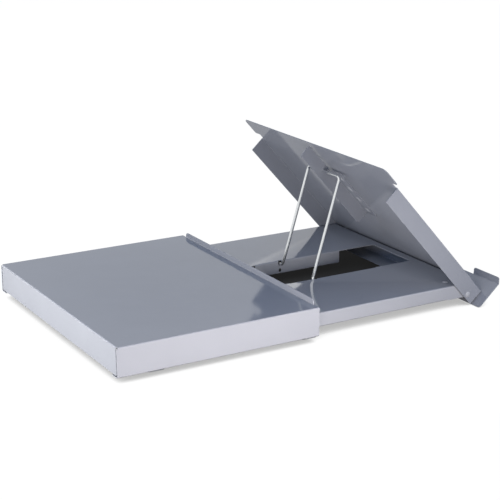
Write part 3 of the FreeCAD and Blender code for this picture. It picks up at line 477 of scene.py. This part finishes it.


# --------------------------------------------------------------------------------------------------------
# Panel and ledge. Two folded sheets of 1.2 mm steel, the panel with side flanges and ears at its top, the
# ledge with its ends bent back over the panel. Five small rivets hold the ledge to the panel's foot, and
# all is given a darker copy of the enamel than the platform and tray, as painted shade.
PANEL_EDGE_ROUND = 0.4 * MM
PANEL_PAINTED_SHADE_TONES = ("92969E", "9A9EA6")     # low and high end of the enamel, darkened as painted shade
PANEL_TILT = math.radians(48)
PANEL_PIVOT = PIVOT_PLACE[1:]          # y and z of the pivot, in millimetres
LEDGE_BEHIND_PIVOT = 19.0              # along the panel, from the ledge's back face, in millimetres
PANEL_ABOVE_PIVOT = 21.5
LEDGE_RIVET_SHANK = 1.6 * MM
LEDGE_RIVET_HEAD = 3.2 * MM
LEDGE_RIVET_HEAD_HEIGHT = 1.1 * MM
LEDGE_RIVET_X = (-156.0, -78.0, 0.0, 78.0, 156.0)
LEDGE_RIVET_SEAT = (-1.2, -8.5)        # the place under a head: along and above, as on_panel takes them


def on_panel(x, along, above):
    """A point given from the ledge along the panel and above the panel's face, in millimetres."""
    forward = along - LEDGE_BEHIND_PIVOT
    upward = above + PANEL_ABOVE_PIVOT
    return (x, PANEL_PIVOT[0] + forward * math.cos(PANEL_TILT) - upward * math.sin(PANEL_TILT),
            PANEL_PIVOT[1] + forward * math.sin(PANEL_TILT) + upward * math.cos(PANEL_TILT))


# the panel's enamel is a darker copy of the platform's, as painted shade
painted_shade_enamel = satin_enamel("satin_enamel_darkened_as_painted_shade", PANEL_PAINTED_SHADE_TONES[0], PANEL_PAINTED_SHADE_TONES[1])
formed_piece("panel_sheet", "document_panel", PANEL_EDGE_ROUND, painted_shade_enamel, "panel")
formed_piece("ledge_sheet", "paper_ledge", PANEL_EDGE_ROUND, painted_shade_enamel, "panel")
turned_parts("ledge_rivet_heads",
             rivet_profile(LEDGE_RIVET_HEAD, LEDGE_RIVET_HEAD_HEIGHT, LEDGE_RIVET_SHANK, RIVET_GRIP,
                           LEDGE_RIVET_HEAD, RIVET_TAIL_HEIGHT),
             [on_panel(x, *LEDGE_RIVET_SEAT) for x in LEDGE_RIVET_X],
             (0.0, math.cos(PANEL_TILT), math.sin(PANEL_TILT)), sprayed_rivet, "panel", ["ledge_rivets"])


# --------------------------------------------------------------------------------------------------------
# Rib. A short folded strip of steel, spot-welded by its flange to the panel's underside, whose web carries
# the prop in a drilled hole. The welds leave shallow round marks that the enamel doesn't hide.
RIB_EDGE_ROUND = 0.4 * MM
WELD_SPACING = 27 * MM
WELD_RADIUS = 2.8 * MM
WELD_X = -13 * MM
WELD_FIRST = 122 * MM                  # along the panel from the pivot
WELD_DEPTH = 0.3 * MM
WELD_HALO = 8 * MM                     # how far round a weld the scale shows through the coat
WELD_HALO_COLOUR = "DDE0E3"
WELD_SCALE_PATCH = 5 * MM              # size of the patches in the scale


def welded_enamel():
    """The enamel over spot welds: the panel's satin grey, darkened as painted shade, dished and brighter in a
    row of round marks.
    """
    material = satin_enamel("satin_enamel_over_spot_welds", PANEL_PAINTED_SHADE_TONES[0], PANEL_PAINTED_SHADE_TONES[1])
    tree = material.node_tree
    shader = next(node for node in tree.nodes if node.type == "BSDF_PRINCIPLED")
    place = next(node for node in tree.nodes if node.type == "TEX_COORD").outputs["Object"]
    level = add(tree, "ShaderNodeMapping", {
        "Vector": place, "Location": (0.0, PANEL_PIVOT[0] * MM, PANEL_PIVOT[1] * MM),
        "Rotation": (PANEL_TILT, 0.0, 0.0)}, vector_type="TEXTURE")
    flat = add(tree, "ShaderNodeSeparateXYZ", {0: level.outputs[0]})
    across = add(tree, "ShaderNodeMath", {0: flat.outputs["X"], 1: WELD_X}, operation="SUBTRACT")
    run = add(tree, "ShaderNodeMath", {0: flat.outputs["Y"], 1: WELD_FIRST}, operation="SUBTRACT")
    step = add(tree, "ShaderNodeMath", {0: run.outputs[0], 1: WELD_SPACING / 2}, operation="PINGPONG")
    spot = add(tree, "ShaderNodeCombineXYZ", {"X": across.outputs[0], "Y": step.outputs[0]})
    away = add(tree, "ShaderNodeVectorMath", {0: spot.outputs[0]}, operation="LENGTH")
    dish = add(tree, "ShaderNodeMapRange", {"Value": away.outputs["Value"], "From Min": 0.6 * WELD_RADIUS,
                                            "From Max": WELD_RADIUS}, interpolation_type="SMOOTHSTEP")
    patchy = add(tree, "ShaderNodeTexNoise", {"Vector": place, "Scale": 1 / WELD_SCALE_PATCH, "Detail": 4.0})
    ragged = add(tree, "ShaderNodeMath",
                 {0: patchy.outputs["Fac"], 1: 2 * WELD_HALO, 2: away.outputs["Value"]},
                 operation="MULTIPLY_ADD")
    halo = add(tree, "ShaderNodeMapRange", {"Value": ragged.outputs[0], "From Min": 1.1 * WELD_HALO,
                                            "From Max": 1.9 * WELD_HALO, "To Min": 0.95, "To Max": 0.0})
    coat_tone = shader.inputs["Base Color"].links[0].from_socket
    scaled = add(tree, "ShaderNodeMix", {0: halo.outputs[0], 6: coat_tone, 7: linear(WELD_HALO_COLOUR)},
                 data_type="RGBA")
    tree.links.new(scaled.outputs[2], shader.inputs["Base Color"])
    coat = shader.inputs["Normal"].links[0].from_socket
    sunk = add(tree, "ShaderNodeBump", {"Height": dish.outputs[0], "Distance": WELD_DEPTH, "Normal": coat})
    tree.links.new(sunk.outputs[0], shader.inputs["Normal"])
    return material


formed_piece("prop_rib", "prop_bracket", RIB_EDGE_ROUND, welded_enamel(), "panel")


# --------------------------------------------------------------------------------------------------------
# Prop. One length of 5 mm drawn steel wire, bent to a U with both feet turned out and bright nickel-plated.
# Its cross wire turns in the rib's hole and its feet stand in the notches of the rails.
WIRE_RADIUS = 2.5 * MM
WIRE_BEND = 6.0 * MM
WIRE_SIDES = 32
WIRE_BEND_STEPS = 10
WIRE_LINES_AROUND = 90.0               # draw lines round the wire
WIRE_LINES_ALONG = 25.0                # breaks of a draw line in a metre
WIRE_DULL_PATCH = 18 * MM
WIRE_LEG_X = 45.0
WIRE_FOOT_X = 52.6
WIRE_TOP = (-140.076, 195.402)         # y and z of the cross wire
WIRE_FOOT = (-91.219, 32.0)
WIRE_ROUTE = [(-WIRE_FOOT_X, *WIRE_FOOT), (-WIRE_LEG_X, *WIRE_FOOT), (-WIRE_LEG_X, *WIRE_TOP),
              (WIRE_LEG_X, *WIRE_TOP), (WIRE_LEG_X, *WIRE_FOOT), (WIRE_FOOT_X, *WIRE_FOOT)]


def nickel_plate():
    """Bright nickel on drawn wire: a white shine, softened by fine draw lines that run along the wire."""
    material, tree, shader, place = new_material("bright_nickel_plated_wire")
    shader.inputs["Metallic"].default_value = 1.0
    along = add(tree, "ShaderNodeAttribute", attribute_name="along").outputs["Fac"]
    around = add(tree, "ShaderNodeAttribute", attribute_name="around").outputs["Fac"]
    spot = add(tree, "ShaderNodeCombineXYZ", {
        "X": add(tree, "ShaderNodeMath", {0: around, 1: WIRE_LINES_AROUND}, operation="MULTIPLY").outputs[0],
        "Y": add(tree, "ShaderNodeMath", {0: along, 1: WIRE_LINES_ALONG}, operation="MULTIPLY").outputs[0]})
    lines = add(tree, "ShaderNodeTexNoise", {"Vector": spot.outputs[0], "Scale": 1.0, "Detail": 3.0})
    dull = add(tree, "ShaderNodeTexNoise", {"Vector": place, "Scale": 1 / WIRE_DULL_PATCH, "Detail": 3.0})
    tone = add(tree, "ShaderNodeMix", {0: dull.outputs["Fac"], 6: linear("DCDFE1"), 7: linear("ECEEEF")},
               data_type="RGBA")
    tree.links.new(tone.outputs[2], shader.inputs["Base Color"])
    gloss = add(tree, "ShaderNodeMapRange", {"Value": lines.outputs["Fac"], "To Min": 0.14, "To Max": 0.30})
    tree.links.new(gloss.outputs[0], shader.inputs["Roughness"])
    drawn = add(tree, "ShaderNodeBump", {"Height": lines.outputs["Fac"], "Distance": 0.01 * MM})
    tree.links.new(drawn.outputs[0], shader.inputs["Normal"])
    return material


def bent_wire(name, route, material, body, nodes):
    """Round wire along a route of straight runs with rounded corners and closed ends."""
    tree = bpy.data.node_groups.new(name + "_bending", "GeometryNodeTree")
    face = tree.interface
    face.new_socket("Route", in_out="INPUT", socket_type="NodeSocketGeometry")
    sockets = {label: face.new_socket(label, in_out="INPUT", socket_type=kind) for label, kind in (
        ("Wire radius", "NodeSocketFloat"), ("Bend radius", "NodeSocketFloat"), ("Sides", "NodeSocketInt"))}
    face.new_socket("Wire", in_out="OUTPUT", socket_type="NodeSocketGeometry")
    given = add(tree, "NodeGroupInput").outputs
    run = add(tree, "GeometryNodeMeshToCurve", {"Mesh": given["Route"]})
    corners = add(tree, "GeometryNodeFilletCurve", {"Curve": run.outputs[0], "Radius": given["Bend radius"],
                                                    "Count": WIRE_BEND_STEPS, "Limit Radius": True},
                  mode="POLY")
    measure = add(tree, "GeometryNodeSplineParameter")
    marked = add(tree, "GeometryNodeStoreNamedAttribute",
                 {"Geometry": corners.outputs[0], "Name": "along", "Value": measure.outputs["Length"]},
                 data_type="FLOAT", domain="POINT")
    ring = add(tree, "GeometryNodeCurvePrimitiveCircle", {"Resolution": given["Sides"],
                                                          "Radius": given["Wire radius"]}, mode="RADIUS")
    ring_marked = add(tree, "GeometryNodeStoreNamedAttribute",
                      {"Geometry": ring.outputs[0], "Name": "around", "Value": measure.outputs["Factor"]},
                      data_type="FLOAT", domain="POINT")
    tube = add(tree, "GeometryNodeCurveToMesh",
               {"Curve": marked.outputs[0], "Profile Curve": ring_marked.outputs[0], "Fill Caps": True})
    bend = add(tree, "GeometryNodeInputMeshEdgeAngle")
    gentle = add(tree, "FunctionNodeCompare", {0: bend.outputs[0], 1: SHARP_CREASE}, operation="LESS_THAN")
    smooth = add(tree, "GeometryNodeSetShadeSmooth", {"Geometry": tube.outputs[0],
                                                      "Shade Smooth": gentle.outputs[0]}, domain="EDGE")
    real = add(tree, "GeometryNodeRealizeInstances", {"Geometry": smooth.outputs[0]})
    plated = add(tree, "GeometryNodeSetMaterial", {"Geometry": real.outputs[0], "Material": material})
    add(tree, "NodeGroupOutput", {0: plated.outputs[0]})
    mesh = bpy.data.meshes.new(name)
    mesh.from_pydata([tuple(value * MM for value in point) for point in route],
                     [(index, index + 1) for index in range(len(route) - 1)], [])
    piece = bpy.data.objects.new(name, mesh)
    scene.collection.objects.link(piece)
    bending = piece.modifiers.new("bending", "NODES")
    bending.node_group = tree
    for label, value in (("Wire radius", WIRE_RADIUS), ("Bend radius", WIRE_BEND), ("Sides", WIRE_SIDES)):
        bending[sockets[label].identifier] = value
    settle(piece, body, nodes)


bent_wire("wire_prop", WIRE_ROUTE, nickel_plate(), "prop", ["prop_wire"])


# --------------------------------------------------------------------------------------------------------
# Desk, backdrop, lights and camera. The desk is a plain white sheet that glows for the camera, with a painted
# soft shadow round the object and a painted dark shadow where it is seen through the tray's opening; in
# reflections it glows dimly, with painted shade near the object. Low soft boxes stand round the object,
# nearest to its side and rear walls; reflections leave them out.
DESK_HALF = 14.0
DESK_SHADE_REACH = 0.25
DESK_EDGE_SHADE = (0.05, 0.50)         # share of open sky where the painted soft shadow is full, and where it ends
DESK_EDGE_SHADE_DEPTH = 0.55           # how much of the glow the painted soft shadow takes
DESK_HOLLOW = (0.045, -0.180, 0.145, 0.120)    # middle and half sizes of the painted dark shadow on what shows through the opening
DESK_HOLLOW_SHADE = (0.45, 0.75)
DESK_HOLLOW_LEVEL = 0.027
DESK_HOLLOW_EDGE = (-0.01, 0.005)      # from inside to outside the hollow's edge, where its painted shade fades out
DESK_MIRRORED_REACH = 0.35             # the same painted shade for the desk as the enamel mirrors it
DESK_MIRRORED_SHADE = (0.45, 1.0)
DESK_MIRRORED_GLOW = (0.04, 0.40)
DESK_SEEN_MATT = "303030"
DESK_MATT = "6A6A6A"
floor_mesh = bpy.data.meshes.new("desk")
floor_mesh.from_pydata([(-DESK_HALF, -DESK_HALF, 0), (DESK_HALF, -DESK_HALF, 0), (DESK_HALF, DESK_HALF, 0),
                        (-DESK_HALF, DESK_HALF, 0)], [], [(0, 1, 2, 3)])
floor = bpy.data.objects.new("desk", floor_mesh)
scene.collection.objects.link(floor)
floor_material = bpy.data.materials.new("white_laminate_desk")
floor_material.use_nodes = True
desk = floor_material.node_tree
desk.nodes.clear()
# an occlusion mask paints shadow into the desk's glow: soft round the object, dark in the tray's opening
open_sky = add(desk, "ShaderNodeAmbientOcclusion", {"Distance": DESK_SHADE_REACH}, samples=12)
painted_edge_shade = add(desk, "ShaderNodeMapRange", {
    "Value": open_sky.outputs["AO"], "From Min": DESK_EDGE_SHADE[0], "From Max": DESK_EDGE_SHADE[1],
    "To Min": 1 - DESK_EDGE_SHADE_DEPTH}, interpolation_type="SMOOTHSTEP")
# a painted dark shadow on the desk where it is seen through the tray's opening
painted_hollow_shade = add(desk, "ShaderNodeMapRange", {
    "Value": open_sky.outputs["AO"], "From Min": DESK_HOLLOW_SHADE[0], "From Max": DESK_HOLLOW_SHADE[1],
    "To Min": DESK_HOLLOW_LEVEL}, interpolation_type="SMOOTHSTEP")
spot = add(desk, "ShaderNodeTexCoord").outputs["Object"]
off_middle = add(desk, "ShaderNodeVectorMath", {0: spot, 1: (DESK_HOLLOW[0], DESK_HOLLOW[1], 0.0)},
                 operation="SUBTRACT")
off_sides = add(desk, "ShaderNodeVectorMath", {0: off_middle.outputs[0]}, operation="ABSOLUTE")
off_both = add(desk, "ShaderNodeSeparateXYZ", {0: off_sides.outputs[0]})
past_x = add(desk, "ShaderNodeMath", {0: off_both.outputs["X"], 1: DESK_HOLLOW[2]}, operation="SUBTRACT")
past_y = add(desk, "ShaderNodeMath", {0: off_both.outputs["Y"], 1: DESK_HOLLOW[3]}, operation="SUBTRACT")
past = add(desk, "ShaderNodeMath", {0: past_x.outputs[0], 1: past_y.outputs[0]}, operation="MAXIMUM")
shut_in = add(desk, "ShaderNodeMapRange", {"Value": past.outputs[0], "From Min": DESK_HOLLOW_EDGE[0],
                                           "From Max": DESK_HOLLOW_EDGE[1]}, interpolation_type="SMOOTHSTEP")
outside_or_open = add(desk, "ShaderNodeMath", {0: shut_in.outputs[0], 1: painted_hollow_shade.outputs[0]},
                      operation="MAXIMUM")
light = add(desk, "ShaderNodeMath", {0: painted_edge_shade.outputs[0], 1: outside_or_open.outputs[0]},
            operation="MULTIPLY")
# the desk's white glow, dimmed by the painted shadows
glow = add(desk, "ShaderNodeEmission", {"Color": linear("FFFFFF"), "Strength": light.outputs[0]})
seen_matt = add(desk, "ShaderNodeBsdfDiffuse", {"Color": linear(DESK_SEEN_MATT)})
seen_desk = add(desk, "ShaderNodeAddShader", {0: seen_matt.outputs[0], 1: glow.outputs[0]})
matt = add(desk, "ShaderNodeBsdfDiffuse", {"Color": linear(DESK_MATT)})
# in reflections the desk glows dimly, with painted shade near the object
round_sky = add(desk, "ShaderNodeAmbientOcclusion", {"Distance": DESK_MIRRORED_REACH}, samples=6)
mirrored_painted_shade = add(desk, "ShaderNodeMapRange", {
    "Value": round_sky.outputs["AO"], "From Min": DESK_MIRRORED_SHADE[0], "From Max": DESK_MIRRORED_SHADE[1],
    "To Min": DESK_MIRRORED_GLOW[0], "To Max": DESK_MIRRORED_GLOW[1]})
dim_glow = add(desk, "ShaderNodeEmission", {"Color": linear("FFFFFF"), "Strength": mirrored_painted_shade.outputs[0]})
mirrored_desk = add(desk, "ShaderNodeAddShader", {0: matt.outputs[0], 1: dim_glow.outputs[0]})
desk_rays = add(desk, "ShaderNodeLightPath")
unseen = add(desk, "ShaderNodeMixShader", {0: desk_rays.outputs["Is Glossy Ray"], 1: matt.outputs[0],
                                           2: mirrored_desk.outputs[0]})
desk_mix = add(desk, "ShaderNodeMixShader", {0: desk_rays.outputs["Is Camera Ray"], 1: unseen.outputs[0],
                                             2: seen_desk.outputs[0]})
add(desk, "ShaderNodeOutputMaterial", {"Surface": desk_mix.outputs[0]})
floor_mesh.materials.append(floor_material)

SKY_COLOUR = (0.46, 0.63, 1.0, 1.0)    # faint light from all round, for what the lamps don't reach
SKY_LEVEL = 0.35
world = bpy.data.worlds.new("studio")
scene.world = world
world.use_nodes = True
sky = world.node_tree
sky.nodes.clear()
rays = add(sky, "ShaderNodeLightPath")
seen = add(sky, "ShaderNodeMath", {0: rays.outputs["Is Camera Ray"], 1: rays.outputs["Is Glossy Ray"]},
           operation="MAXIMUM")
seen_or_through = add(sky, "ShaderNodeMath", {0: seen.outputs[0], 1: rays.outputs["Is Transmission Ray"]},
                      operation="MAXIMUM")
dim = add(sky, "ShaderNodeBackground", {"Color": SKY_COLOUR, "Strength": SKY_LEVEL})
white = add(sky, "ShaderNodeBackground", {"Color": (1, 1, 1, 1), "Strength": 1.0})
both = add(sky, "ShaderNodeMixShader",
           {0: seen_or_through.outputs[0], 1: dim.outputs[0], 2: white.outputs[0]})
add(sky, "ShaderNodeOutputWorld", {"Surface": both.outputs[0]})


def softbox(name, place, aim, size, power, colour):
    """A soft studio light at a place, turned to what it lights."""
    lamp = bpy.data.lights.new(name, "AREA")
    lamp.shape = "RECTANGLE"
    lamp.size = size[0]
    lamp.size_y = size[1]
    lamp.energy = power
    lamp.color = colour
    holder = bpy.data.objects.new(name, lamp)
    holder.location = place
    holder.rotation_euler = (Vector(aim) - Vector(place)).to_track_quat("-Z", "Y").to_euler()
    holder.visible_camera = False
    holder.visible_glossy = False
    scene.collection.objects.link(holder)


softbox("side_box", (-0.54, 0.17, 0.07), (-0.214, 0.17, 0.03), (0.6, 0.10), 1.98, (1.0, 0.93, 0.91))
softbox("corner_box", (-0.80, -0.28, 0.23), (-0.2, -0.15, 0.14), (0.25, 0.2), 1.7, (1.0, 0.96, 0.95))
softbox("rear_box", (0.0, 0.62, 0.07), (0.0, 0.334, 0.03), (0.8, 0.12), 2.65, (1.0, 0.975, 0.965))
softbox("far_box", (0.95, 0.0, 0.10), (0.214, 0.0, 0.05), (0.6, 0.16), 4.0, (1.0, 0.97, 0.95))
softbox("front_box", (0.0, -1.1, 0.2), (0.0, -0.25, 0.1), (0.8, 0.2), 2.6, (1.0, 0.97, 0.95))

CAMERA_PLACE = (-1.8489, 1.0924, 0.7511)
CAMERA_YAW = 120.62                    # from +Y towards +X, in degrees, as are the next two
CAMERA_PITCH = 17.25                   # below level
CAMERA_ROLL = -0.24
SENSOR_WIDTH = 36.0
FOCAL_LENGTH = 1420.0 / 500.0 * SENSOR_WIDTH
camera_data = bpy.data.cameras.new("camera")
camera_data.sensor_width = SENSOR_WIDTH
camera_data.lens = FOCAL_LENGTH
camera = bpy.data.objects.new("camera", camera_data)
yaw, pitch, roll = (math.radians(angle) for angle in (CAMERA_YAW, CAMERA_PITCH, CAMERA_ROLL))
ahead = Vector((math.cos(pitch) * math.sin(yaw), math.cos(pitch) * math.cos(yaw), -math.sin(pitch)))
level = ahead.cross(Vector((0, 0, 1))).normalized()
down = ahead.cross(level)
right = level * math.cos(roll) + down * math.sin(roll)
lower = -level * math.sin(roll) + down * math.cos(roll)
turn = Matrix((right, -lower, -ahead)).transposed()
camera.matrix_world = Matrix.Translation(CAMERA_PLACE) @ turn.to_4x4()
scene.collection.objects.link(camera)
scene.camera = camera
scene.view_settings.view_transform = "Standard"
